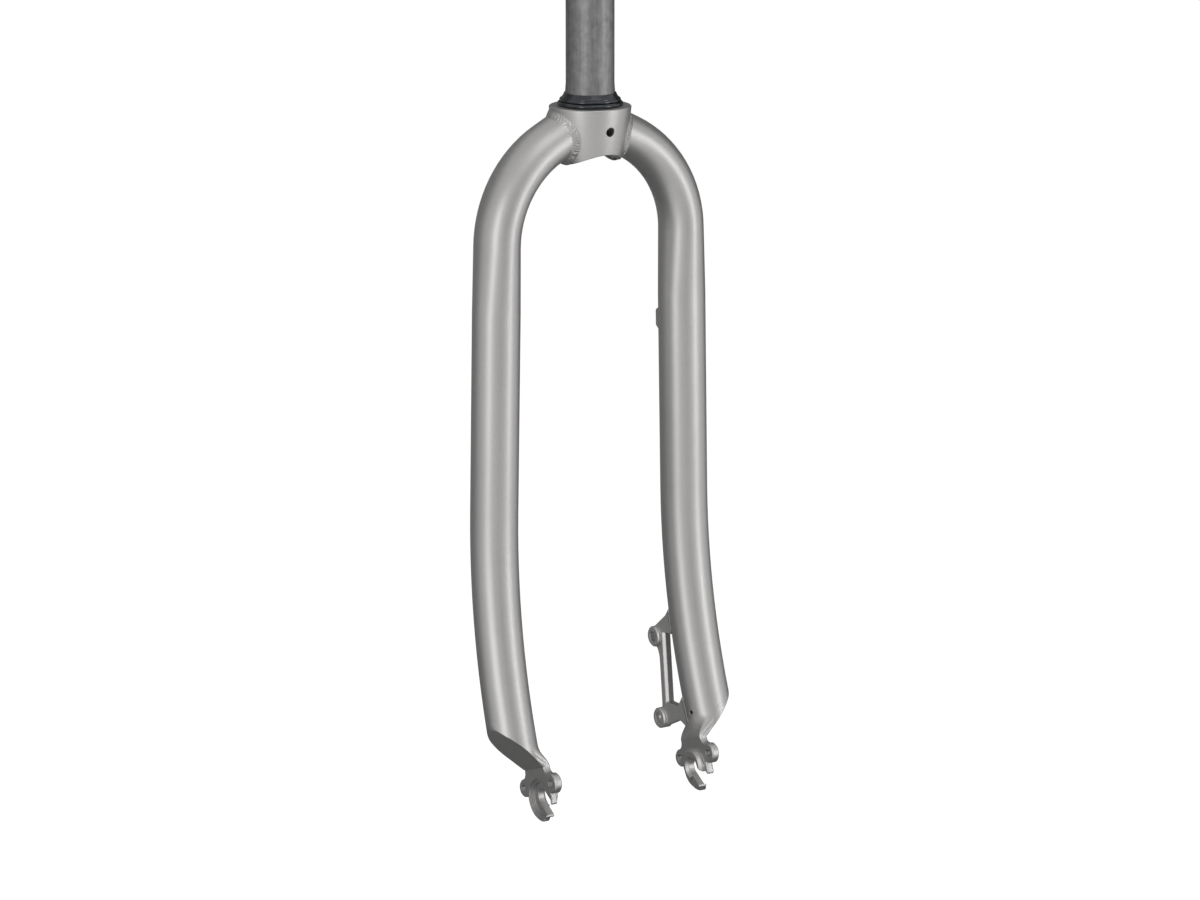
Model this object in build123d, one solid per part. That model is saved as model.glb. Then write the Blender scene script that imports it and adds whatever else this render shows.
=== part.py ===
from build123d import *
import os
from math import cos, radians, sin, sqrt, tan

# Rigid bicycle fork: steerer, crown collar, two raked legs with hooded dropouts, and a disc brake mount.
# Millimetres. The origin is the centre of the crown race seat, +Z runs up the steering axis,
# -Y is the front of the bicycle and +X its left, the side that carries the disc brake.

# Steerer tube
steerer_length = 200.0
steerer_diameter = 28.6
steerer_bore = 23.4
steerer_chamfer = 0.8
seat_diameter = 30.0
seat_height = 4.5
seat_taper = 9.0
steerer_tail = 24.0

# Crown collar
collar_top_diameter = 48.8
collar_bottom_diameter = 33.6
collar_height = 36.0
collar_bulge = 0.9
collar_edge = 0.8
saddle_radius = 27.0
saddle_drop = 27.2
arch_vent_diameter = 2.4
arch_vent_offset = 15.7
arch_vent_lean = 37.0
arch_vent_depth = 9.0
crown_hole_diameter = 5.5
crown_hole_drop = 13.3

# Crown race and its rubber seal
race_height = 7.6
race_flange_diameter = 33.6
race_flange_height = 4.6
race_lip = 0.5
race_top_wall = 0.3
seal_diameter = 38.9
seal_step_diameter = 36.2
seal_groove_height = 2.4
seal_groove_depth = 0.7

# Legs
leg_diameter = 28.6
leg_wall = 2.2
leg_drop = 7.2
leg_droop = 26.5
crown_bend_radius = 65.2
crown_bend_ovality = 0.09
crown_bend_turn = 3.5
round_out_length = 40.0
splay = 1.06
straight_length = 160.3
rake_radius = 382.0
rake_angle = 20.5
tail_length = 6.4
mitre_angle = 45.0
hood_thickness = 4.0
heel_radius = 19.0
blend_start = 2.5
blend_drop = 11.6
blend_sink = 0.3
vent_diameter = 2.8
vent_rise = 4.6
vent_turn = 9.0

# Dropouts, drawn upright round the axle and then leaned forward with the leg
hub_width = 100.0
land_height = 3.4
land_step = 1.7
land_reach = 2.5
land_lift = 1.5
land_diameter = 21.4
land_top_diameter = 20.4
land_arm_diameter = 23.6
land_arm_lead = 1.0
plate_thickness = 4.8
plate_bevel = 0.7
wall_setback = 1.9
axle_drop = 29.0
axle_setback = 1.2
slot_width = 10.0
slot_lean = 38.0
hook_diameter = 28.0
hook_lead = 0.6
hook_drop = 0.8
jaw_reach = 11.2
jaw_round = 1.2
tongue_lead = 10.8
tongue_front = 12.8
tongue_drop = 5.6
land_drop = 3.6
mouth_lead = 6.0
neck_width = 23.4
neck_flare = 4.0
flare_bow = 0.2
eyelet_spacing = 32.6
eyelet_rise = 6.8
front_boss_diameter = 12.2
rear_boss_diameter = 10.8
eyelet_hole_diameter = 4.6
recess_diameter = 20.4
recess_depth = 2.5
recess_step_diameter = 24.4
recess_step_depth = 1.2
recess_drop = 1.2

# Disc brake mount on the left leg
caliper_hole_spacing = 51.0
caliper_hole_diameter = 6.5
caliper_boss_diameter = 12.8
caliper_boss_length = 7.0
caliper_boss_bevel = 0.7
caliper_face_offset = 4.0
caliper_lower_behind = 42.6
caliper_lower_above = 19.8
caliper_tilt = 7.8
arm_inset = 2.0
arm_thickness = 5.0
bar_width = 4.8
bar_chamfer = 1.5
bar_upper_lead = 6.8
bar_lower_lead = 4.8
upper_arm_rise = 22.0
upper_arm_foot = 15.5
lower_arm_height = 10.0
lower_arm_lift = 9.0

# Hose guide on the back of the left leg
guide_drop = 139.0
guide_height = 16.0
guide_width = 10.0
guide_depth = 7.0
guide_channel_diameter = 5.4
guide_mouth_width = 3.6
guide_ramp = 5.5
guide_chamfer = 1.5

# Weld beads
crown_bead = 2.2
brake_bead = 1.8

leg_radius = leg_diameter / 2
over = 10.0

# Leg centreline, left side. The lower end is placed from the hub, the crown end follows from the splay.
land_x = hub_width / 2
plate_inner_x = land_x + land_height
plate_outer_x = plate_inner_x + plate_thickness
mitre_x = plate_inner_x + wall_setback + leg_radius
straight_dir = Vector(sin(radians(splay)), 0, -cos(radians(splay)))
forward = Vector(0, -1, 0)
tail_dir = straight_dir * cos(radians(rake_angle)) + forward * sin(radians(rake_angle))
lead_dir = Vector(cos(radians(leg_droop)), 0, -sin(radians(leg_droop)))

raked_run = rake_radius * sin(radians(rake_angle)) + tail_length * cos(radians(rake_angle))
bend_end_x = mitre_x - sin(radians(splay)) * (straight_length + raked_run)
bend_start_x = bend_end_x - crown_bend_radius * (cos(radians(splay)) - sin(radians(leg_droop)))
bend_start_z = -leg_drop - bend_start_x * tan(radians(leg_droop))
bend_end_z = bend_start_z - crown_bend_radius * (cos(radians(leg_droop)) - sin(radians(splay)))
bend_start = Vector(bend_start_x, 0, bend_start_z)
bend_end = Vector(bend_end_x, 0, bend_end_z)
bend_centre = bend_end - Vector(cos(radians(splay)), 0, sin(radians(splay))) * crown_bend_radius
bend_mid_dir = (bend_start - bend_centre) + (bend_end - bend_centre)
bend_middle = bend_centre + bend_mid_dir.normalized() * crown_bend_radius
lead_start = bend_start - lead_dir * ((bend_start_x - collar_bottom_diameter / 4) / cos(radians(leg_droop)))

rake_start = bend_end + straight_dir * straight_length


def rake_point(turn):
    """Point of the leg centreline after the rake has turned by an angle in degrees."""
    along = straight_dir * (rake_radius * sin(radians(turn)))
    return rake_start + along + forward * (rake_radius * (1 - cos(radians(turn))))


rake_end = rake_point(rake_angle)
mitre_point = rake_end + tail_dir * tail_length
outward = Vector(1, 0, 0) - tail_dir * tail_dir.X
mitre_normal = outward.normalized() * sin(radians(mitre_angle)) + tail_dir * cos(radians(mitre_angle))

# Side views are drawn with forward to the right and up at the top, on planes of constant X.
axle_forward = -mitre_point.Y + axle_drop * sin(radians(rake_angle)) - axle_setback * cos(radians(rake_angle))
axle_z = mitre_point.Z - axle_drop * cos(radians(rake_angle)) - axle_setback * sin(radians(rake_angle))
lower_hole = Vector(axle_forward - caliper_lower_behind, axle_z + caliper_lower_above)
hole_line = Vector(-sin(radians(caliper_tilt)), cos(radians(caliper_tilt)))
upper_hole = lower_hole + hole_line * caliper_hole_spacing
caliper_face_x = land_x + caliper_face_offset
arm_low_x = caliper_face_x + arm_inset
arm_high_x = arm_low_x + arm_thickness


def side_plane(x):
    """Plane of constant X whose local axes are forward and up."""
    return Plane(origin=(x, 0, 0), x_dir=(0, -1, 0), z_dir=(-1, 0, 0))


def slab(outline, low_x, high_x):
    """Side view outline given its thickness between two X positions."""
    return extrude(side_plane(high_x) * outline, amount=high_x - low_x)


def bevelled_slab(outline, low_x, high_x, bevel):
    """Slab whose edges are bevelled all round on both faces."""
    body = slab(outline, low_x + bevel, high_x - bevel)
    body += extrude(side_plane(high_x - bevel) * outline, amount=-bevel, taper=45)
    return body + extrude(side_plane(low_x + bevel) * outline, amount=bevel, taper=45)


def leaned(outline):
    """Upright dropout outline, moved to the axle and leaned forward with the leg."""
    return Pos(axle_forward, axle_z) * Rot(0, 0, rake_angle) * outline


def polygon(*points):
    """Closed face through a few corner points."""
    return make_face(Polyline(*points, close=True))


def turned(*edges):
    """Solid of revolution about the steering axis from a closed profile in the XZ plane."""
    return revolve(make_face(Plane.XZ * Curve(edges)), axis=Axis.Z)


def half_space(point, normal, size=1600.0):
    """Large block that fills the side of a plane that its normal points to."""
    return Plane(origin=point, z_dir=normal) * Box(size, size, size, align=(Align.CENTER, Align.CENTER, Align.MIN))


def leg_envelope(growth=0.0):
    """Solid left leg, from inside the collar down to the mitre, grown all round by a distance."""
    radius = leg_radius + growth
    wide = leg_radius * (1 + crown_bend_ovality) + growth
    flat = leg_radius * (1 - crown_bend_ovality) + growth
    crown_path = Line(lead_start, bend_start) + ThreePointArc(bend_start, bend_middle, bend_end)
    crown_bend = sweep(Plane(lead_start, x_dir=(0, 1, 0), z_dir=lead_dir) * Ellipse(wide, flat), crown_path)
    round_point = bend_end + straight_dir * round_out_length
    oval_end = Plane(bend_end, x_dir=(0, 1, 0), z_dir=straight_dir) * Ellipse(wide, flat)
    round_end = Plane(round_point, x_dir=(0, 1, 0), z_dir=straight_dir) * Circle(radius)
    round_out = loft([oval_end, round_end])
    turn_axis = Axis(bend_end, straight_dir)
    crown_end = (crown_bend + round_out).rotate(turn_axis, crown_bend_turn)
    tail_end = mitre_point + tail_dir * (leg_diameter + over)
    leg_path = Line(round_point, rake_start)
    leg_path += ThreePointArc(rake_start, rake_point(rake_angle / 2), rake_end)
    leg_path += Line(rake_end, tail_end)
    return crown_end + sweep(round_end, leg_path) - half_space(mitre_point, mitre_normal)


def heel_cut():
    """Corner taken off the outer side of the mitre, so that the heel is round."""
    bulge = Vector(leg_radius - heel_radius, heel_radius * (1 - sqrt(2)) - leg_radius)
    mitre_touch = bulge + Vector(1, 1) * (heel_radius / sqrt(2))
    outer_touch = bulge + Vector(heel_radius, 0)
    middle = bulge + Vector(cos(radians(22.5)), sin(radians(22.5))) * heel_radius
    corner = Vector(leg_radius + over, over - leg_radius)
    zone = make_face([
        ThreePointArc(outer_touch, middle, mitre_touch),
        Line(mitre_touch, mitre_touch + Vector(over, over)),
        Line(mitre_touch + Vector(over, over), corner),
        Line(corner, outer_touch + Vector(over, 0)),
        Line(outer_touch + Vector(over, 0), outer_touch),
    ])
    side = outward.normalized()
    plane = Plane(mitre_point, x_dir=side, z_dir=side.cross(tail_dir))
    return extrude(plane * zone, amount=leg_diameter, both=True)


def collar_envelope(growth=0.0, above=0.0, below=0.0):
    """Solid collar without its bore, grown radially, and lengthened past its ends if asked."""
    top = collar_top_diameter / 2 + growth
    bottom = collar_bottom_diameter / 2 + growth
    waist = (top + bottom) / 2 + collar_bulge
    return turned(
        Line((0, above), (top, above)),
        *([Line((top, above), (top, 0))] if above > 0 else []),
        ThreePointArc((top, 0), (waist, -collar_height / 2), (bottom, -collar_height)),
        *([Line((bottom, -collar_height), (bottom, -collar_height - below))] if below > 0 else []),
        Line((bottom, -collar_height - below), (0, -collar_height - below)),
        Line((0, -collar_height - below), (0, above)),
    )


def saddle():
    """Round cut across the underside of the collar, highest on the steering axis."""
    return Pos(0, 0, -saddle_drop - saddle_radius) * Rot(90, 0, 0) * Cylinder(saddle_radius, collar_top_diameter * 2)


def arch_vent(side):
    """Vent hole drilled up and out from the arch into one leg, side 1 for the left and -1 for the right."""
    z = sqrt(saddle_radius**2 - arch_vent_offset**2) - saddle_radius - saddle_drop
    lean = Rot(0, side * arch_vent_lean, 0)
    return Pos(side * arch_vent_offset, 0, z) * lean * Cylinder(arch_vent_diameter / 2, arch_vent_depth * 2)


def crown_hole():
    """Bolt hole through the crown from front to back."""
    return Pos(0, 0, -crown_hole_drop) * Rot(90, 0, 0) * Cylinder(crown_hole_diameter / 2, collar_top_diameter * 2)


def make_steerer():
    """Tube with the thicker race seat at its foot, pressed into the collar."""
    tube = steerer_diameter / 2
    seat = seat_diameter / 2
    bore = steerer_bore / 2
    body = turned(
        Polyline(
            (bore, -steerer_tail),
            (seat, -steerer_tail),
            (seat, seat_height),
            (tube, seat_height + seat_taper),
            (tube, steerer_length - steerer_chamfer),
            (tube - steerer_chamfer, steerer_length),
            (bore, steerer_length),
            close=True,
        )
    )
    return body - crown_hole()


def make_collar():
    """Tapered collar with an arched underside, bored for the steerer."""
    body = collar_envelope()
    body = fillet(body.edges().group_by(Axis.Z)[-1], collar_edge)
    body -= saddle()
    body -= Cylinder(seat_diameter / 2, collar_height * 4)
    body -= arch_vent(1) + arch_vent(-1)
    return body - crown_hole()


def make_race():
    """Ring pressed on the seat, with one rounded lip at the foot of its bearing cone."""
    seat = seat_diameter / 2
    flange = race_flange_diameter / 2
    top = seat + race_top_wall
    shoulder = race_flange_height + (race_height - race_flange_height) / 3
    return turned(
        Line((seat, 0), (flange, 0)),
        Line((flange, 0), (flange, race_flange_height)),
        ThreePointArc(
            (flange, race_flange_height),
            (flange - race_lip / 4, (race_flange_height + shoulder) / 2),
            (flange - race_lip, shoulder),
        ),
        Line((flange - race_lip, shoulder), (top, race_height)),
        Line((top, race_height), (seat, race_height)),
        Line((seat, race_height), (seat, 0)),
    )


def make_seal():
    """Rubber ring with two rounded lips round the race flange."""
    inner = race_flange_diameter / 2
    lower = seal_diameter / 2
    upper = seal_step_diameter / 2
    groove = upper - seal_groove_depth
    top = (inner + upper) / 2
    lower_middle = seal_groove_height / 2
    upper_middle = (seal_groove_height + race_flange_height) / 2
    return turned(
        Line((inner, 0), (lower - seal_groove_depth, 0)),
        ThreePointArc((lower - seal_groove_depth, 0), (lower, lower_middle), (groove, seal_groove_height)),
        ThreePointArc((groove, seal_groove_height), (upper, upper_middle), (top, race_flange_height)),
        Line((top, race_flange_height), (inner, race_flange_height)),
        Line((inner, race_flange_height), (inner, 0)),
    )


def make_leg(envelope, collar_zone):
    """Left leg tube, coped to the collar and mitred above the hood."""
    tube = envelope - leg_envelope(-leg_wall)
    tube -= collar_zone
    hood_top = mitre_point - mitre_normal * hood_thickness
    tube -= half_space(hood_top, mitre_normal)
    vent_point = mitre_point - tail_dir * vent_rise
    inward = Vector(-cos(radians(vent_turn)), -sin(radians(vent_turn)), 0)
    drill = Plane(vent_point, z_dir=inward) * Cylinder(
        vent_diameter / 2, leg_diameter, align=(Align.CENTER, Align.CENTER, Align.MIN)
    )
    return tube - drill - arch_vent(1)


def behind_slot():
    """Upright zone behind the middle line of the axle slot."""
    size = hook_diameter * 2
    return Rot(0, 0, slot_lean) * Pos(-size / 2, 0) * Rectangle(size, size)


def hook_disc():
    """Upright outer edge of the hook behind the slot, with the tongue in front of it."""
    hook = Pos(hook_lead, -hook_drop) * Circle(hook_diameter / 2) & behind_slot()
    tongue = polygon((0, eyelet_rise), (tongue_front, eyelet_rise), (tongue_front, -tongue_drop), (0, -tongue_drop))
    return hook + tongue


def axle_slot():
    """Upright outline of the axle slot and its flared mouth."""
    half = slot_width / 2
    across = Vector(cos(radians(slot_lean)), sin(radians(slot_lean)))
    along = Vector(sin(radians(slot_lean)), -cos(radians(slot_lean)))
    reach = hook_diameter * 2
    jaw_corner = along * jaw_reach - across * half
    channel = polygon(
        across * half,
        along * mouth_lead + across * half,
        Vector(tongue_lead, -tongue_drop),
        Vector(reach, -tongue_drop),
        Vector(reach, -reach),
        jaw_corner - across * reach,
        jaw_corner,
        across * -half,
    )
    return Circle(half) + channel


def jaw_tip():
    """Upright zone past the reach of the lands on the lower jaw."""
    size = hook_diameter * 2
    zone = Pos(-size / 2 + slot_width / 2, -land_reach - size / 2) * Rectangle(size, size)
    return Rot(0, 0, slot_lean) * zone


def flare(start, end):
    """Hollow arc between two points that bends towards the axle and the leg line."""
    middle = (Vector(*start) + Vector(*end)) * 0.5
    chord = Vector(*end) - Vector(*start)
    return ThreePointArc(start, middle + Vector(chord.Y, -chord.X) * flare_bow, end)


def dropout_outline():
    """Upright outline of the plate: neck, eyelet web and hook, open at the axle slot."""
    half = neck_width / 2
    end = eyelet_spacing / 2
    front_top = eyelet_rise + front_boss_diameter / 2
    rear_top = eyelet_rise + rear_boss_diameter / 2
    flare_top = front_top + neck_flare
    neck_top = axle_drop - blend_drop + blend_sink
    neck = make_face([
        Line((-half, neck_top), (half, neck_top)),
        Line((half, neck_top), (half, flare_top)),
        flare((half, flare_top), (end, front_top)),
        Line((end, front_top), (end, eyelet_rise)),
        Line((end, eyelet_rise), (-end, eyelet_rise)),
        Line((-end, eyelet_rise), (-end, rear_top)),
        flare((-end, rear_top), (-half, flare_top)),
        Line((-half, flare_top), (-half, neck_top)),
    ])
    web = Pos(0, eyelet_rise) * Rectangle(eyelet_spacing, rear_boss_diameter)
    web += Pos(end, eyelet_rise) * Circle(front_boss_diameter / 2)
    web += Pos(-end, eyelet_rise) * Circle(rear_boss_diameter / 2)
    outline = neck + web + hook_disc() - axle_slot()
    along = Vector(sin(radians(slot_lean)), -cos(radians(slot_lean)))
    tips = [c for c in outline.vertices() if abs(Vector(c.X, c.Y).dot(along) - jaw_reach) < 0.01]
    tips += [c for c in outline.vertices() if abs(c.Y + tongue_drop) < 0.01 and c.X > 0]
    return fillet(tips, jaw_round)


def neck_blend():
    """Fairing from the round leg to the flat neck of the plate, drawn as two eight-sided sections."""
    side = outward.normalized()
    high = mitre_point + tail_dir * blend_start
    low = mitre_point + tail_dir * blend_drop
    radius = leg_radius - blend_sink
    turns = [-52, 52, 58, 122, 128, 232, 238, 302, 308]
    spots = [Vector(cos(radians(turn)), sin(radians(turn))) * radius for turn in turns]
    middles = [(turns[i] + turns[i + 1]) / 2 for i in range(8)]
    round_edges = [
        ThreePointArc(spots[i], Vector(cos(radians(m)), sin(radians(m))) * radius, spots[i + 1])
        for i, m in enumerate(middles)
    ]
    thick = plate_thickness / 2
    wide = neck_width / 2
    flat = polygon(
        (thick, plate_bevel - wide), (thick, wide - plate_bevel),
        (thick - plate_bevel, wide), (plate_bevel - thick, wide),
        (-thick, wide - plate_bevel), (-thick, plate_bevel - wide),
        (plate_bevel - thick, -wide), (thick - plate_bevel, -wide),
    )
    shift = ((plate_inner_x + plate_outer_x) / 2 - low.X) / side.X
    round_face = Plane(high, x_dir=side, z_dir=tail_dir) * make_face(round_edges)
    flat_face = Plane(low, x_dir=side, z_dir=tail_dir) * (Pos(shift, -axle_setback) * flat)
    return loft([round_face, flat_face])


def make_dropout(envelope):
    """Left dropout: hood over the mitred leg, plate with stepped axle lands, and two eyelets."""
    hood_top = mitre_point - mitre_normal * hood_thickness
    leg_zone = envelope - half_space(hood_top, mitre_normal)
    hood = envelope - half_space(hood_top, mitre_normal * -1)
    body = hood + (neck_blend() - half_space(mitre_point, mitre_normal) - leg_zone)
    outline = dropout_outline()
    plate = bevelled_slab(leaned(outline), plate_inner_x, plate_outer_x, plate_bevel)
    body += plate - envelope

    size = hook_diameter * 2
    tongue_end = Pos(size / 2 + slot_width / 2, -land_drop - size / 2) * Rectangle(size, size)
    land_zone = outline - tongue_end
    land_arm = Pos(land_arm_lead, -land_arm_lead) * Circle(land_arm_diameter / 2) & behind_slot()
    land = leaned(land_zone & (Pos(0, land_lift) * Circle(land_diameter / 2) + land_arm))
    body += slab(land, plate_inner_x - land_step, plate_inner_x + plate_bevel)
    step_plane = side_plane(plate_inner_x - land_step)
    land_bevel = land_height - land_step
    dome = leaned(Pos(0, land_lift) * Circle(land_top_diameter / 2))
    land_top = extrude(step_plane * dome, amount=land_bevel, taper=45)
    land_top &= slab(leaned(land_zone - jaw_tip()), land_x - over, plate_inner_x)
    body += land_top - extrude(step_plane * leaned(Circle(slot_width / 2)), amount=land_bevel, taper=-45)

    for end in (-1, 1):
        hole = leaned(Pos(end * eyelet_spacing / 2, eyelet_rise) * Circle(eyelet_hole_diameter / 2))
        body -= slab(hole, land_x - over, plate_outer_x + over)
    recess_outer = plate_outer_x + over
    recess_spot = Pos(hook_lead, -recess_drop)
    recess_step = leaned(recess_spot * Circle(recess_step_diameter / 2))
    recess = leaned(recess_spot * Circle(recess_diameter / 2))
    body -= slab(recess_step, plate_outer_x - recess_step_depth, recess_outer)
    body -= slab(recess, plate_outer_x - recess_depth, recess_outer)
    return body


def leg_forward(z):
    """Forward position of the leg centreline at a height on its raked part."""
    sine = (rake_start.Z - z) / (rake_radius * cos(radians(splay)))
    if sine <= 0:
        return 0.0
    if sine < sin(radians(rake_angle)):
        return rake_radius * (1 - sqrt(1 - sine * sine))
    return -rake_end.Y + (rake_end.Z - z) * tan(radians(rake_angle))


def upper_arm():
    """Side view of the upper arm, a gusset that spreads from its boss up the back of the leg."""
    boss = caliper_boss_diameter / 2
    top_z = upper_hole.Y + upper_arm_rise
    foot_z = top_z - upper_arm_foot
    return polygon(
        (upper_hole.X - boss * 0.2, upper_hole.Y + boss * 0.95),
        (leg_forward(top_z) - leg_radius * 0.75, top_z - upper_arm_foot * 0.4),
        (leg_forward(top_z) - leg_radius * 0.45, top_z),
        (leg_forward(top_z), top_z),
        (leg_forward(foot_z), foot_z),
        (upper_hole.X + boss, foot_z - bar_width / 2),
        (upper_hole.X + boss * 0.7, upper_hole.Y - boss * 0.7),
        (upper_hole.X, upper_hole.Y),
    )


def lower_arm():
    """Side view of the lower arm, level at its boss and flared where it meets the leg."""
    boss = caliper_boss_diameter / 2
    top_z = lower_hole.Y + lower_arm_lift + lower_arm_height / 2
    foot_z = top_z - lower_arm_height
    return polygon(
        (lower_hole.X, lower_hole.Y + boss * 0.98),
        (lower_hole.X + boss, top_z - bar_width / 2),
        (leg_forward(top_z) - leg_radius * 0.9, top_z - bar_width / 2),
        (leg_forward(top_z) - leg_radius * 0.6, top_z + bar_width),
        (leg_forward(top_z), top_z + bar_width),
        (leg_forward(foot_z), foot_z - bar_width / 2),
        (leg_forward(foot_z) - leg_radius * 0.55, foot_z - bar_width / 2),
        (leg_forward(foot_z) - leg_radius, foot_z),
        (lower_hole.X, lower_hole.Y - boss * 0.98),
    )


def make_brake_mount(envelope):
    """Disc caliper mount: two bored bosses on a ladder of two arms and a slim chamfered bar."""
    boss = caliper_boss_diameter / 2
    boss_high_x = caliper_face_x + caliper_boss_length
    side = Vector(bar_width / 2, 0)
    bar_top = upper_hole + Vector(bar_upper_lead, 0)
    bar_bottom = lower_hole + Vector(bar_lower_lead, boss)
    bar = slab(polygon(bar_top - side, bar_top + side, bar_bottom + side, bar_bottom - side), arm_low_x, arm_high_x)
    inner_edges = bar.edges().filter_by_position(Axis.X, arm_low_x - 0.01, arm_low_x + 0.01)
    long_edges = inner_edges.group_by(SortBy.LENGTH)[-1]
    front_edge = long_edges.sort_by(Axis.Y)[0]
    ladder = chamfer(front_edge, bar_chamfer)
    ladder += slab(upper_arm(), arm_low_x, arm_high_x)
    ladder += slab(lower_arm(), arm_low_x, arm_high_x)
    ladder -= envelope
    for hole in (upper_hole, lower_hole):
        round_boss = slab(Pos(hole.X, hole.Y) * Circle(boss), caliper_face_x, boss_high_x)
        ladder += chamfer(round_boss.edges().filter_by(GeomType.CIRCLE), caliper_boss_bevel)
    for hole in (upper_hole, lower_hole):
        bore = Pos(hole.X, hole.Y) * Circle(caliper_hole_diameter / 2)
        ladder -= slab(bore, caliper_face_x - over, boss_high_x + over)
    return ladder


def make_hose_guide(envelope):
    """Small open clip for the brake hose on the back of the left leg."""
    spot = bend_end + straight_dir * ((bend_end.Z + guide_drop) / cos(radians(splay)))
    frame = Plane(spot, x_dir=(1, 0, 0), z_dir=straight_dir * -1)
    back = leg_radius + guide_depth
    half = guide_height / 2
    side_view = polygon(
        (leg_radius * 0.8, -half),
        (leg_radius, -half),
        (back, -half + guide_ramp),
        (back, half - guide_chamfer),
        (back - guide_chamfer, half),
        (leg_radius * 0.8, half),
    )
    profile_plane = frame * Plane(origin=(0, 0, 0), x_dir=(0, 1, 0), z_dir=(1, 0, 0))
    body = extrude(profile_plane * side_view, amount=guide_width / 2, both=True)
    channel_y = leg_radius + guide_depth / 2
    channel = Pos(0, channel_y) * Circle(guide_channel_diameter / 2)
    mouth = Pos(0, channel_y + guide_depth / 2) * Rectangle(guide_mouth_width, guide_depth)
    body -= extrude(frame * (channel + mouth), amount=guide_height, both=True)
    return body - envelope


def make_brake_weld(arm, envelope, mount, dropout):
    """Bead round the foot of one arm, between the arm and the leg, clear of the dropout below."""
    grown = slab(offset(arm, brake_bead, kind=Kind.INTERSECTION), arm_low_x - brake_bead, arm_high_x + brake_bead)
    return (grown & leg_envelope(brake_bead)) - envelope - mount - dropout


def solid_of(shape):
    """The shape as one plain solid, or as a compound where it has several."""
    solids = shape.solids()
    return solids[0] if len(solids) == 1 else Compound(children=solids)


leg_body = leg_envelope() - heel_cut()
collar_body = collar_envelope()
collar_zone = collar_envelope(above=leg_diameter, below=leg_diameter)
steerer_tube = make_steerer()
crown_collar = make_collar()
leg_left = make_leg(leg_body, collar_zone)
dropout_left = make_dropout(leg_body)
disc_brake_mount = make_brake_mount(leg_body) - dropout_left
hose_guide = make_hose_guide(leg_body)

bead_zone = leg_envelope(crown_bead) & (collar_envelope(crown_bead) - saddle())
crown_weld_left = bead_zone - leg_body - collar_zone - arch_vent(1)

nodes = {
    "steerer_tube": steerer_tube,
    "crown_collar": crown_collar,
    "crown_race": make_race(),
    "race_seal": make_seal(),
    "leg_left": leg_left,
    "leg_right": mirror(leg_left, about=Plane.YZ),
    "crown_weld_left": crown_weld_left,
    "crown_weld_right": mirror(crown_weld_left, about=Plane.YZ),
    "dropout_left": dropout_left,
    "dropout_right": mirror(dropout_left, about=Plane.YZ),
    "disc_brake_mount": disc_brake_mount,
    "brake_weld_upper": make_brake_weld(upper_arm(), leg_body, disc_brake_mount, dropout_left),
    "brake_weld_lower": make_brake_weld(lower_arm(), leg_body, disc_brake_mount, dropout_left),
    "hose_guide": hose_guide,
}

os.makedirs("parts", exist_ok=True)
for name, shape in nodes.items():
    export_step(solid_of(shape), f"parts/{name}.step")
    print(name, len(shape.solids()), round(shape.volume, 1), "valid", shape.is_valid)
print("axle forward", round(axle_forward, 2), "axle below the seat", round(-axle_z, 2))
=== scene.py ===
import logging
import math
from dataclasses import dataclass, field
from enum import Enum

import bpy
from mathutils import Matrix, Vector


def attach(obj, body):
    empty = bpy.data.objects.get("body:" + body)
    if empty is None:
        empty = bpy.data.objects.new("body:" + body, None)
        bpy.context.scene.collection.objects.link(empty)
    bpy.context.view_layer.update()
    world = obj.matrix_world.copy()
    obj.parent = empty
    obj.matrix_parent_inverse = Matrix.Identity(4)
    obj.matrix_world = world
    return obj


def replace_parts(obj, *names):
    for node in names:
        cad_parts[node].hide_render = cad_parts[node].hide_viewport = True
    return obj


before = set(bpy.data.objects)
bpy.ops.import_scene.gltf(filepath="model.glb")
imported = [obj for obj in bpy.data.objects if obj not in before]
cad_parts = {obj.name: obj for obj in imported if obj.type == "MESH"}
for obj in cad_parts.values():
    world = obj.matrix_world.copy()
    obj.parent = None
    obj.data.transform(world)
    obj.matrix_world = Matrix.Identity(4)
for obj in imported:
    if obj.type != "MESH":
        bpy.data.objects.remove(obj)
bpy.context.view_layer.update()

Span = tuple[float, float]
Seam = list[tuple[Vector, Vector]]
Sockets = dict[str, bpy.types.NodeSocket]

MM = 0.001
ROOT = "root"
FLOAT, VECTOR = "NodeSocketFloat", "NodeSocketVector"
log = logging.getLogger("fork")

# X of both faces of the left dropout's plate, and of the arms of the brake mount
PLATE_FACES: Span = (53.4, 58.2)
ARM_FACES: Span = (56.0, 61.0)


class Slot(Enum):
    """Material slots of the record."""

    PAINT = "fork_paint"
    STEERER = "steerer_metal"
    RACE = "race_black"
    SEAL = "seal_rubber"


class Side(Enum):
    """Sides of the bicycle, with the sign of X on each."""

    LEFT = 1
    RIGHT = -1


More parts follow.
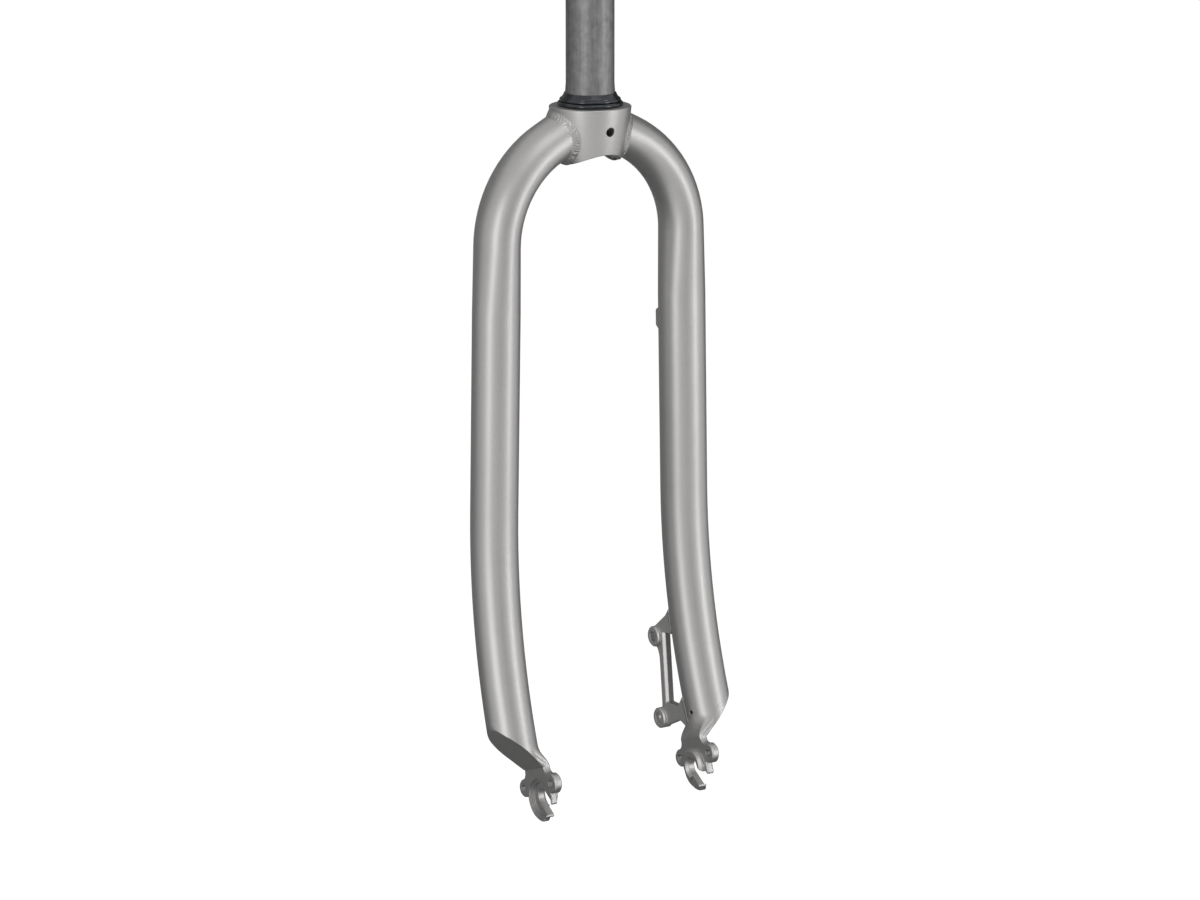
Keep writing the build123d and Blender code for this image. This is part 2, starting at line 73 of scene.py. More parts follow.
class Graph:
    """Adds and links nodes in one node tree."""

    def __init__(self, tree: bpy.types.NodeTree) -> None:
        """Start on a tree.

        Args:
            tree: The shader or geometry tree to fill.
        """
        self.tree = tree

    def feed(self, socket: bpy.types.NodeSocket, value: object) -> None:
        """Link a socket, or set its own value.

        Args:
            socket: The input to feed.
            value: Another node's output socket, or a plain value.
        """
        if isinstance(value, bpy.types.NodeSocket):
            self.tree.links.new(value, socket)
        else:
            socket.default_value = value

    def add(self, kind: str, inputs: dict | None = None, **settings: object) -> bpy.types.Node:
        """Add a node.

        Args:
            kind: Type name of the node.
            inputs: Values or sockets for its inputs, by name or number.
            settings: Properties of the node.

        Returns:
            The new node.
        """
        node = self.tree.nodes.new(kind)
        for name, value in settings.items():
            setattr(node, name, value)
        for key, value in (inputs or {}).items():
            self.feed(node.inputs[key], value)
        return node

    def math(self, operation: str, first: object, second: object = 0.0) -> bpy.types.NodeSocket:
        """Add a Math node.

        Args:
            operation: Name of the operation.
            first: First value or socket.
            second: Second value or socket.

        Returns:
            The result's socket.
        """
        return self.add("ShaderNodeMath", {0: first, 1: second}, operation=operation).outputs[0]

    def vector(
        self, operation: str, first: object, second: object = (0.0, 0.0, 0.0)
    ) -> bpy.types.NodeSocket:
        """Add a Vector Math node that gives a vector.

        Args:
            operation: Name of the operation.
            first: First vector or socket.
            second: Second vector or socket.

        Returns:
            The result's socket.
        """
        return self.add("ShaderNodeVectorMath", {0: first, 1: second}, operation=operation).outputs[0]

    def dot(self, first: object, second: object) -> bpy.types.NodeSocket:
        """Give the dot product of two vectors.

        Args:
            first: First vector or socket.
            second: Second vector or socket.

        Returns:
            The result's socket.
        """
        node = self.add("ShaderNodeVectorMath", {0: first, 1: second}, operation="DOT_PRODUCT")
        return node.outputs["Value"]

    def scaled(self, way: object, length: bpy.types.NodeSocket) -> bpy.types.NodeSocket:
        """Give a vector times a length.

        Args:
            way: The vector or its socket.
            length: The length's socket.

        Returns:
            The result's socket.
        """
        node = self.add("ShaderNodeVectorMath", {0: way}, operation="SCALE")
        self.feed(node.inputs["Scale"], length)
        return node.outputs[0]

    def ramp(self, value: object, low: float, high: float) -> bpy.types.NodeSocket:
        """Spread a value from 0..1 to a range.

        Args:
            value: The socket to spread.
            low: Result at 0.
            high: Result at 1.

        Returns:
            The result's socket.
        """
        return self.add("ShaderNodeMapRange", {"Value": value, "To Min": low, "To Max": high}).outputs[0]

    def stretch(self, value: object, ends: Span, shape: str = "LINEAR") -> bpy.types.NodeSocket:
        """Spread a range of a value to 0..1.

        Args:
            value: The socket to spread.
            ends: Values that become 0 and 1.
            shape: Name of the interpolation between them.

        Returns:
            The result's socket.
        """
        inputs = {"Value": value, "From Min": ends[0], "From Max": ends[1]}
        return self.add("ShaderNodeMapRange", inputs, interpolation_type=shape).outputs[0]

    def noise(self, where: object, scale: object, detail: float, roughness: float) -> bpy.types.NodeSocket:
        """Add a Noise texture.

        Args:
            where: Coordinates.
            scale: Scale of the noise.
            detail: Finer octaves.
            roughness: Weight of each finer octave.

        Returns:
            The noise's socket.
        """
        inputs = {"Vector": where, "Scale": scale, "Detail": detail, "Roughness": roughness}
        return self.add("ShaderNodeTexNoise", inputs).outputs["Fac"]

    def blend(self, factor: object, first: object, second: object) -> bpy.types.NodeSocket:
        """Mix two colours.

        Args:
            factor: Share of the second colour.
            first: First colour.
            second: Second colour.

        Returns:
            The mixed colour's socket.
        """
        node = self.add("ShaderNodeMix", data_type="RGBA")
        sockets = [s for s in node.inputs if s.type == "RGBA"]
        self.feed(node.inputs[0], factor)
        self.feed(sockets[0], first)
        self.feed(sockets[1], second)
        return next(s for s in node.outputs if s.type == "RGBA")

    def attribute(self, name: str, kind: str = "FLOAT") -> bpy.types.NodeSocket:
        """Read a named attribute of the geometry."""
        return self.add("GeometryNodeInputNamedAttribute", {"Name": name}, data_type=kind).outputs[0]

    def store(
        self, geometry: bpy.types.NodeSocket, name: str, value: bpy.types.NodeSocket
    ) -> bpy.types.NodeSocket:
        """Keep a number on every point of the geometry.

        Args:
            geometry: The geometry.
            name: Name of the attribute.
            value: The number's socket.

        Returns:
            The geometry with the attribute.
        """
        inputs = {"Geometry": geometry, "Name": name, "Value": value}
        kind = "GeometryNodeStoreNamedAttribute"
        return self.add(kind, inputs, data_type="FLOAT", domain="POINT").outputs[0]

    def seen(self) -> bpy.types.NodeSocket:
        """Give 1 where the camera, a reflection or a clear body sees the surface.

        Returns:
            The mask's socket.
        """
        path = self.add("ShaderNodeLightPath").outputs
        mirrored = self.math("MAXIMUM", path["Is Camera Ray"], path["Is Glossy Ray"])
        return self.math("MAXIMUM", mirrored, path["Is Transmission Ray"])


def grey(value: float, warmth: float = 0.0) -> tuple[float, float, float, float]:
    """Give a grey, a little warm or cool.

    Args:
        value: Brightness of the grey.
        warmth: Share that blue loses and red gains.

    Returns:
        The colour with its alpha.
    """
    return (value * (1 + warmth), value, value * (1 - warmth), 1.0)


@dataclass
class LegLine:
    """Centreline and surface of the left leg, with the sizes of the frame."""

    radius: float = 14.3
    drop: float = 7.2
    droop: float = 26.5
    bend_radius: float = 65.2
    ovality: float = 0.09
    turn: float = 3.5
    splay: float = 1.06
    straight: float = 160.3
    rake_radius: float = 382.0
    rake_angle: float = 20.5
    tail: float = 6.4
    mitre_x: float = 69.6
    hood: float = 4.0
    collar_top: float = 24.4
    collar_waist: float = 21.5
    collar_bottom: float = 16.8
    collar_height: float = 36.0
    seam_reach: Span = (5.0, 45.0)
    seam_halvings: int = 40
    slope_step: float = 0.1

    def __post_init__(self) -> None:
        """Work out the points that the sizes give."""
        lean, droop, rake = (math.radians(a) for a in (self.splay, self.droop, self.rake_angle))
        run = self.rake_radius * math.sin(rake) + self.tail * math.cos(rake)
        end_x = self.mitre_x - math.sin(lean) * (self.straight + run)
        start_x = end_x - self.bend_radius * (math.cos(lean) - math.sin(droop))
        start_z = -self.drop - start_x * math.tan(droop)
        end_z = start_z - self.bend_radius * (math.cos(droop) - math.sin(lean))
        self.down = Vector((math.sin(lean), 0.0, -math.cos(lean)))
        self.lead = Vector((math.cos(droop), 0.0, -math.sin(droop)))
        self.up = Vector((math.sin(droop), 0.0, math.cos(droop)))
        self.bend_end = Vector((end_x, 0.0, end_z))
        self.rake_z = end_z - self.straight * math.cos(lean)
        spin = Matrix.Rotation(math.radians(self.turn), 4, self.down)
        self.crown_turn = Matrix.Translation(self.bend_end) @ spin @ Matrix.Translation(-self.bend_end)
        self.collar_arc = self.arc_through_collar()
        front = Vector((0.0, -1.0, 0.0))
        self.tail_way = self.down * math.cos(rake) + front * math.sin(rake)
        self.outward = (Vector((1.0, 0.0, 0.0)) - self.tail_way * self.tail_way.x).normalized()
        self.rear = self.tail_way.cross(self.outward)
        rake_start = self.bend_end + self.down * self.straight
        rake_end = rake_start + self.down * (self.rake_radius * math.sin(rake))
        rake_end += front * (self.rake_radius * (1 - math.cos(rake)))
        self.mitre = rake_end + self.tail_way * self.tail
        self.hood_normal = (self.outward + self.tail_way).normalized()

    def arc_through_collar(self) -> tuple[float, float, float]:
        """Find the arc of the collar's side.

        Returns:
            Radial place and height of the arc's centre, and its radius.
        """
        half = self.collar_height / 2
        sag = self.collar_waist - (self.collar_top + self.collar_bottom) / 2
        chord = Vector((self.collar_bottom - self.collar_top, -self.collar_height))
        radius = (chord.length_squared / 4 + sag * sag) / (2 * sag)
        inward = Vector((chord.y, -chord.x)).normalized()
        centre = Vector((self.collar_waist, -half)) + inward * radius
        return centre.x, centre.y, radius

    def collar_radius(self, z: float) -> float:
        """Give the collar's radius at a height.

        Args:
            z: Height in the frame.

        Returns:
            The radius.
        """
        across, height, radius = self.collar_arc
        return across + math.sqrt(radius * radius - (z - height) ** 2)

    def crown_point(self, along: float, angle: float) -> tuple[Vector, Vector]:
        """Give a point on the oval crown end of the leg.

        Args:
            along: Distance from the steering axis along the lead of the leg.
            angle: Angle round the oval, from the rear.

        Returns:
            The point and the outward normal there.
        """
        wide, flat = self.radius * (1 + self.ovality), self.radius * (1 - self.ovality)
        rear = Vector((0.0, 1.0, 0.0))
        axis = Vector((0.0, 0.0, -self.drop)) + self.lead * along
        point = axis + rear * (wide * math.cos(angle)) + self.up * (flat * math.sin(angle))
        normal = rear * (math.cos(angle) / wide) + self.up * (math.sin(angle) / flat)
        return self.crown_turn @ point, (self.crown_turn.to_3x3() @ normal).normalized()

    def collar_seam(self, angle: float, seat: float) -> tuple[Vector, Vector]:
        """Find where a bead sits in the corner between leg and collar.

        Args:
            angle: Angle round the oval of the leg.
            seat: Half width at which a flat bead rests on both surfaces.

        Returns:
            The point, and the direction out of the corner.
        """
        near, far = self.seam_reach
        for _ in range(self.seam_halvings):
            middle = (near + far) / 2
            point, _normal = self.crown_point(middle, angle)
            if math.hypot(point.x, point.y) < self.collar_radius(point.z):
                near = middle
            else:
                far = middle
        point, leg_normal = self.crown_point(near, angle)
        step = self.slope_step
        over, under = self.collar_radius(point.z + step), self.collar_radius(point.z - step)
        slope = (over - under) / (2 * step)
        reach = math.hypot(point.x, point.y)
        collar_normal = Vector((point.x / reach, point.y / reach, -slope)).normalized()
        outward = (leg_normal + collar_normal).normalized()
        steepness = math.tan(leg_normal.angle(collar_normal) / 2)
        return point + outward * (seat * steepness), outward

    def axis_at(self, z: float) -> tuple[float, float, float]:
        """Give the centreline at a height on the straight or raked part.

        Args:
            z: Height in the frame.

        Returns:
            X, Y and the tilt of the centreline there.
        """
        x = self.bend_end.x + (self.bend_end.z - z) * math.tan(math.radians(self.splay))
        sine = (self.rake_z - z) / (self.rake_radius * math.cos(math.radians(self.splay)))
        limit = math.radians(self.rake_angle)
        tilt = min(math.asin(max(0.0, min(1.0, sine))), limit)
        forward = self.rake_radius * (1 - math.cos(tilt))
        past = max(0.0, sine - math.sin(limit)) * self.rake_radius
        return x, -forward - past * math.tan(limit), tilt

    def back_point(self, x: float, z: float) -> tuple[Vector, Vector]:
        """Give a point on the back of the leg.

        Args:
            x: X of the point.
            z: Height of the point.

        Returns:
            The point and the outward normal there.
        """
        axis_x, axis_y, tilt = self.axis_at(z)
        aside = x - axis_x
        behind = math.sqrt(max(0.0, self.radius**2 - aside**2))
        normal = Vector((aside, behind * math.cos(tilt), behind * math.sin(tilt))).normalized()
        return Vector((x, axis_y + behind / math.cos(tilt), z)), normal


LEG = LegLine()


def new_group(
    name: str, inputs: dict[str, str], outputs: tuple[str, ...]
) -> tuple[Graph, Sockets, Sockets]:
    """Start a shader node group.

    Args:
        name: Name of the group.
        inputs: Socket types of its inputs, by name.
        outputs: Names of its outputs, which are numbers.

    Returns:
        The group's graph, its input sockets and its output sockets, by name.
    """
    tree = bpy.data.node_groups.new(name, "ShaderNodeTree")
    for label, kind in inputs.items():
        tree.interface.new_socket(label, in_out="INPUT", socket_type=kind)
    for label in outputs:
        tree.interface.new_socket(label, in_out="OUTPUT", socket_type=FLOAT)
    graph = Graph(tree)
    source = graph.add("NodeGroupInput")
    sink = graph.add("NodeGroupOutput")
    return graph, {n: source.outputs[n] for n in inputs}, {n: sink.inputs[n] for n in outputs}


@dataclass
class Effects:
    """Shader node groups that several finishes share."""

    speck_detail: float = 1.0
    speck_roughness: float = 0.6
    speck_ends: Span = (0.3, 0.7)
    cloud_detail: float = 3.0
    cloud_roughness: float = 0.55
    streak_detail: float = 4.0
    streak_roughness: float = 0.65

    def __post_init__(self) -> None:
        """Build every group once."""
        self.grain = self.build_grain()
        self.streaks = self.build_streaks()

    def build_grain(self) -> bpy.types.NodeTree:
        """Build the fine grain of a sprayed or moulded surface.

        Returns:
            The group, with a fine speckle, a soft cloud and a height.
        """
        inputs = {"Vector": VECTOR, "Speck Scale": FLOAT, "Cloud Scale": FLOAT}
        graph, have, give = new_group("surface_grain", inputs, ("Speck", "Cloud", "Height"))
        where = have["Vector"]
        speck = graph.noise(where, have["Speck Scale"], self.speck_detail, self.speck_roughness)
        cloud = graph.noise(where, have["Cloud Scale"], self.cloud_detail, self.cloud_roughness)
        graph.feed(give["Speck"], graph.stretch(speck, self.speck_ends))
        graph.feed(give["Cloud"], cloud)
        graph.feed(give["Height"], speck)
        return graph.tree

    def build_streaks(self) -> bpy.types.NodeTree:
        """Build the lines that drawing or turning leaves along one direction.

        Returns:
            The group, with a streak value.
        """
        inputs = {"Vector": VECTOR, "Scale": FLOAT, "Stretch": VECTOR}
        graph, have, give = new_group("drawn_streaks", inputs, ("Streak",))
        drawn = graph.vector("MULTIPLY", have["Vector"], have["Stretch"])
        lines = graph.noise(drawn, have["Scale"], self.streak_detail, self.streak_roughness)
        graph.feed(give["Streak"], lines)
        return graph.tree


def empty_material(name: str) -> tuple[bpy.types.Material, Graph]:
    """Start a material with no nodes.

    Args:
        name: Name of the material.

    Returns:
        The material and its graph.
    """
    material = bpy.data.materials.new(name)
    material.use_nodes = True
    material.node_tree.nodes.clear()
    return material, Graph(material.node_tree)


def new_finish(name: str) -> tuple[bpy.types.Material, Graph, Sockets, bpy.types.NodeSocket]:
    """Start a material with a Principled shader.

    Args:
        name: Name of the material.

    Returns:
        The material, its graph, the shader's inputs and the Object coordinates.
    """
    material, graph = empty_material(name)
    shader = graph.add("ShaderNodeBsdfPrincipled")
    graph.add("ShaderNodeOutputMaterial", {"Surface": shader.outputs[0]})
    return material, graph, shader.inputs, graph.add("ShaderNodeTexCoord").outputs["Object"]


def use_effect(graph: Graph, group: bpy.types.NodeTree, inputs: dict) -> Sockets:
    """Place a shared effect in a material and give its outputs."""
    return graph.add("ShaderNodeGroup", inputs, node_tree=group).outputs


def bump(
    graph: Graph, height: object, strength: float, depth: float, normal: object = None
) -> bpy.types.NodeSocket:
    """Add a Bump node.

    Args:
        graph: The material's graph.
        height: Height socket, from 0 to 1.
        strength: Strength of the bump.
        depth: Height that 1 stands for, in metres.
        normal: Normal socket to start from, if any.

    Returns:
        The normal's socket.
    """
    node = graph.add("ShaderNodeBump", {"Strength": strength, "Distance": depth, "Height": height})
    if normal is not None:
        graph.feed(node.inputs["Normal"], normal)
    return node.outputs[0]


@dataclass(frozen=True)
class SilverPaint:
    """Satin silver paint with fine metal flake. Lengths are in metres."""

    name: str = "satin_silver_paint"
    shade: float = 0.37
    warmth: float = 0.012
    flake: float = 0.06
    cloudiness: float = 0.025
    metallic: float = 0.84
    roughness: float = 0.42
    roughness_spread: float = 0.05
    speck_scale: float = 2600.0
    cloud_scale: float = 60.0
    flake_bump: float = 0.5
    flake_depth: float = 0.00004
    edge_radius: float = 0.0007
    edge_samples: int = 6
    seam_width: float = 0.0015
    heel_fade: Span = (0.35, 0.65)
    heel_depth: float = 0.004
    heel_inner: float = 0.003
    skin_depth: float = 0.00001

    def from_mitre(self, graph: Graph, where: bpy.types.NodeSocket) -> bpy.types.NodeSocket:
        """Measure from the middle of the mitre, with both legs folded onto the left one.

        Args:
            graph: The material's graph.
            where: Object coordinates.

        Returns:
            The vector from the mitre.
        """
        axes = graph.add("ShaderNodeSeparateXYZ", {0: where})
        aside = graph.math("ABSOLUTE", axes.outputs[0])
        spot = graph.add("ShaderNodeCombineXYZ", {0: aside, 1: axes.outputs[1], 2: axes.outputs[2]})
        return graph.vector("SUBTRACT", spot.outputs[0], LEG.mitre * MM)

    def edges(self, graph: Graph, apart: bpy.types.NodeSocket) -> bpy.types.NodeSocket:
        """Round the edges softly, but not the flush seam between leg and hood.

        Args:
            graph: The material's graph.
            apart: Vector from the middle of the mitre.

        Returns:
            The softened normal.
        """
        gap = graph.math("ADD", graph.dot(apart, LEG.hood_normal), LEG.hood * MM)
        clear = graph.math("GREATER_THAN", graph.math("ABSOLUTE", gap), self.seam_width)
        radius = graph.math("MULTIPLY", clear, self.edge_radius)
        return graph.add("ShaderNodeBevel", {"Radius": radius}, samples=self.edge_samples).outputs[0]

    def heel(
        self,
        graph: Graph,
        where: bpy.types.NodeSocket,
        apart: bpy.types.NodeSocket,
        soft: bpy.types.NodeSocket,
    ) -> bpy.types.NodeSocket:
        """Turn the light over the rounded heel from the tube's own curve to the flat mitre.

        Args:
            graph: The material's graph.
            where: Object coordinates.
            apart: Vector from the middle of the mitre.
            soft: The normal elsewhere.

        Returns:
            The normal.
        """
        along, out = graph.dot(apart, LEG.tail_way), graph.dot(apart, LEG.outward)
        over_tail = graph.math("SUBTRACT", graph.math("MULTIPLY", along, -1.0), LEG.tail * MM)
        above = graph.math("MAXIMUM", over_tail, 0.0)
        sag = graph.math("DIVIDE", graph.math("MULTIPLY", above, above), 2 * LEG.rake_radius * MM)
        behind = graph.math("ADD", graph.dot(apart, LEG.rear), sag)
        across = graph.vector("ADD", graph.scaled(LEG.outward, out), graph.scaled(LEG.rear, behind))
        reach = graph.add("ShaderNodeVectorMath", {0: across}, operation="LENGTH").outputs["Value"]
        under = graph.math("SUBTRACT", LEG.radius * MM, reach)
        inside = graph.math("MULTIPLY", graph.math("ADD", along, out), -math.sqrt(0.5))
        depth = graph.math("ADD", graph.math("MAXIMUM", under, 0.0), graph.math("MAXIMUM", inside, 0.0))
        share = graph.math("DIVIDE", inside, graph.math("MAXIMUM", depth, self.skin_depth))
        turn = graph.stretch(share, self.heel_fade, "SMOOTHSTEP")
        turn = graph.math("MULTIPLY", turn, graph.math("GREATER_THAN", out, self.heel_inner))
        turn = graph.math("MULTIPLY", turn, graph.math("LESS_THAN", depth, self.heel_depth))
        side = graph.math("SIGN", graph.add("ShaderNodeSeparateXYZ", {0: where}).outputs[0])
        flip = graph.add("ShaderNodeCombineXYZ", {0: side, 1: 1.0, 2: 1.0})
        tube = graph.vector("MULTIPLY", graph.vector("NORMALIZE", across), flip.outputs[0])
        change = graph.scaled(graph.vector("SUBTRACT", tube, soft), turn)
        return graph.vector("NORMALIZE", graph.vector("ADD", soft, change))

    def build(self, effects: Effects) -> bpy.types.Material:
        """Build the material.

        Args:
            effects: The shared effects.

        Returns:
            The finished material.
        """
        material, graph, shader, where = new_finish(self.name)
        scales = {"Vector": where, "Speck Scale": self.speck_scale, "Cloud Scale": self.cloud_scale}
        grain = use_effect(graph, effects.grain, scales)
        spread = self.flake + self.cloudiness
        speck = graph.math("MULTIPLY", grain["Speck"], self.flake / spread)
        cloud = graph.math("MULTIPLY", grain["Cloud"], self.cloudiness / spread)
        dark = grey(self.shade - spread / 2, self.warmth)
        light = grey(self.shade + spread / 2, self.warmth)
        graph.feed(shader["Base Color"], graph.blend(graph.math("ADD", speck, cloud), dark, light))
        low, high = self.roughness - self.roughness_spread, self.roughness + self.roughness_spread
        graph.feed(shader["Roughness"], graph.ramp(grain["Speck"], low, high))
        shader["Metallic"].default_value = self.metallic
        apart = self.from_mitre(graph, where)
        soft = self.heel(graph, where, apart, self.edges(graph, apart))
        rough = bump(graph, grain["Height"], self.flake_bump, self.flake_depth, soft)
        graph.feed(shader["Normal"], rough)
        return material


@dataclass(frozen=True)
class BareSteel:
    """Bare drawn steel, dull and a little cloudy, with faint lines up the tube."""

    name: str = "bare_steerer_steel"
    dark: float = 0.115
    light: float = 0.25
    light_warmth: float = 0.01
    metallic: float = 0.7
    roughness: Span = (0.38, 0.56)
    speck_scale: float = 1500.0
    cloud_scale: float = 210.0
    line_scale: float = 420.0
    line_stretch: tuple[float, float, float] = (1.0, 1.0, 0.06)
    line_share: float = 0.55
    tone_ends: Span = (0.32, 0.68)
    line_bump: float = 0.35
    line_depth: float = 0.00005

    def build(self, effects: Effects) -> bpy.types.Material:
        """Build the material.

        Args:
            effects: The shared effects.

        Returns:
            The finished material.
        """
        material, graph, shader, where = new_finish(self.name)
        scales = {"Vector": where, "Speck Scale": self.speck_scale, "Cloud Scale": self.cloud_scale}
        grain = use_effect(graph, effects.grain, scales)
        drawn = {"Vector": where, "Scale": self.line_scale, "Stretch": self.line_stretch}
        streak = use_effect(graph, effects.streaks, drawn)["Streak"]
        lined = graph.math("MULTIPLY", streak, self.line_share)
        clouded = graph.math("MULTIPLY", grain["Cloud"], 1.0 - self.line_share)
        tone = graph.stretch(graph.math("ADD", lined, clouded), self.tone_ends)
        light = grey(self.light, self.light_warmth)
        graph.feed(shader["Base Color"], graph.blend(tone, grey(self.dark), light))
        graph.feed(shader["Roughness"], graph.ramp(streak, *self.roughness))
        shader["Metallic"].default_value = self.metallic
        graph.feed(shader["Normal"], bump(graph, streak, self.line_bump, self.line_depth))
        return material


@dataclass(frozen=True)
class BlackRing:
    """Black finish of the race or the seal, with fine turned lines round the steering axis."""

    name: str
    light: float
    line_scale: float
    dark: float = 0.005
    coolness: float = 0.16
    roughness: Span = (0.16, 0.28)
    speck_scale: float = 1800.0
    cloud_scale: float = 150.0
    line_stretch: tuple[float, float, float] = (0.05, 0.05, 1.0)
    line_bump: float = 0.3
    line_depth: float = 0.00002
    gloss: float = 0.6
    gloss_tint: tuple[float, float, float, float] = (0.88, 0.9, 1.0, 1.0)

    def build(self, effects: Effects) -> bpy.types.Material:
        """Build the material.

        Args:
            effects: The shared effects.

        Returns:
            The finished material.
        """
        material, graph, shader, where = new_finish(self.name)
        shader["Specular IOR Level"].default_value = self.gloss
        shader["Specular Tint"].default_value = self.gloss_tint
        scales = {"Vector": where, "Speck Scale": self.speck_scale, "Cloud Scale": self.cloud_scale}
        grain = use_effect(graph, effects.grain, scales)
        turned = {"Vector": where, "Scale": self.line_scale, "Stretch": self.line_stretch}
        streak = use_effect(graph, effects.streaks, turned)["Streak"]
        tone = graph.math("MULTIPLY", grain["Cloud"], streak)
        dark, light = grey(self.dark, -self.coolness), grey(self.light, -self.coolness)
        graph.feed(shader["Base Color"], graph.blend(tone, dark, light))
        graph.feed(shader["Roughness"], graph.ramp(grain["Speck"], *self.roughness))
        graph.feed(shader["Normal"], bump(graph, streak, self.line_bump, self.line_depth))
        return material


FINISHES: dict[Slot, SilverPaint | BareSteel | BlackRing] = {
    Slot.PAINT: SilverPaint(),
    Slot.STEERER: BareSteel(),
    Slot.RACE: BlackRing("blackened_race_metal", light=0.018, line_scale=900.0),
    Slot.SEAL: BlackRing("black_seal_rubber", light=0.016, line_scale=700.0),
}
# Painted light: the satin silver paint made lighter (shade 0.48 for 0.37) for the brake mount and its bar
# web, standing in for light on the mount's arms; the real mount wears the same paint as the fork.
MOUNT_PAINT_WITH_PAINTED_LIGHT = SilverPaint("mount_silver_paint_painted_light", shade=0.48)


def new_mesh(
    name: str,
    points: list[Vector],
    edges: list[tuple[int, int]],
    faces: list[tuple[int, ...]] | None = None,
) -> bpy.types.Object:
    """Make a mesh object from points, edges and faces.

    Args:
        name: Name of the object.
        points: Points in millimetres.
        edges: Pairs of point numbers.
        faces: Rings of point numbers, if any.

    Returns:
        The object, linked to the scene.
    """
    mesh = bpy.data.meshes.new(name)
    mesh.from_pydata([p * MM for p in points], edges, faces or [])
    made = bpy.data.objects.new(name, mesh)
    bpy.context.scene.collection.objects.link(made)
    return made


def loft_faces(rings: int, count: int) -> list[tuple[int, ...]]:
    """List the faces of a closed body laid through rings of points.

    Args:
        rings: Number of rings.
        count: Points in each ring.

    Returns:
        The sides, then both ends.
    """
    faces = []
    for ring in range(rings - 1):
        low, high = ring * count, (ring + 1) * count
        steps = [(i, (i + 1) % count) for i in range(count)]
        faces += [(low + i, low + j, high + j, high + i) for i, j in steps]
    first = tuple(reversed(range(count)))
    last = tuple((rings - 1) * count + i for i in range(count))
    return [*faces, first, last]


def settle(piece: bpy.types.Object) -> bpy.types.Object:
    """Let a painted piece ride on the fork, and report it.

    Args:
        piece: The piece.

    Returns:
        The same piece.
    """
    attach(piece, ROOT)
    log.info("%s: %d faces", piece.name, len(piece.data.polygons))
    return piece


def geometry_tree(name: str, sizes: tuple[str, ...]) -> tuple[Graph, Sockets, bpy.types.Node]:
    """Start a Geometry Nodes tree that takes a geometry, sizes and a material.

    Args:
        name: Name of the tree.
        sizes: Names of its sizes.

    Returns:
        The tree's graph, its input sockets by name, and its output node.
    """
    tree = bpy.data.node_groups.new(name, "GeometryNodeTree")
    kinds = {"Geometry": "NodeSocketGeometry"} | {label: FLOAT for label in sizes}
    kinds["Material"] = "NodeSocketMaterial"
    for label, kind in kinds.items():
        tree.interface.new_socket(label, in_out="INPUT", socket_type=kind)
    tree.interface.new_socket("Geometry", in_out="OUTPUT", socket_type="NodeSocketGeometry")
    graph = Graph(tree)
    source = graph.add("NodeGroupInput")
    return graph, {s.name: s for s in source.outputs if s.name}, graph.add("NodeGroupOutput")


def close_tree(
    graph: Graph, geometry: bpy.types.NodeSocket, material: bpy.types.NodeSocket, output: bpy.types.Node
) -> None:
    """End a tree in smooth, real faces with their material.

    Args:
        graph: The tree's graph.
        geometry: The geometry to finish.
        material: Material socket.
        output: The tree's output node.
    """
    smooth = graph.add("GeometryNodeSetShadeSmooth", {"Geometry": geometry})
    real = graph.add("GeometryNodeRealizeInstances", {"Geometry": smooth.outputs[0]})
    dressed = graph.add("GeometryNodeSetMaterial", {"Geometry": real.outputs[0], "Material": material})
    graph.feed(output.inputs[0], dressed.outputs[0])


def grow(made: bpy.types.Object, tree: bpy.types.NodeTree, values: dict[str, object]) -> None:
    """Run a Geometry Nodes tree on an object and keep the result as a plain mesh.

    Args:
        made: The object that carries the tree's points.
        tree: The tree.
        values: Values of the tree's inputs, by name.
    """
    modifier = made.modifiers.new(tree.name, "NODES")
    modifier.node_group = tree
    for item in tree.interface.items_tree:
        if item.item_type == "SOCKET" and item.in_out == "INPUT" and item.name in values:
            modifier[item.identifier] = values[item.name]
    bpy.context.view_layer.update()
    evaluated = made.evaluated_get(bpy.context.evaluated_depsgraph_get())
    mesh = bpy.data.meshes.new_from_object(evaluated)
    made.modifiers.remove(modifier)
    points, made.data = made.data, mesh
    mesh.name = made.name
    bpy.data.meshes.remove(points)


@dataclass(frozen=True)
class BeadSize:
    """Half width, half height, seat in its corner, and ripples of a weld bead."""

    width: float
    height: float
    seat: float
    ripple: float
    relief: float
    dip: float


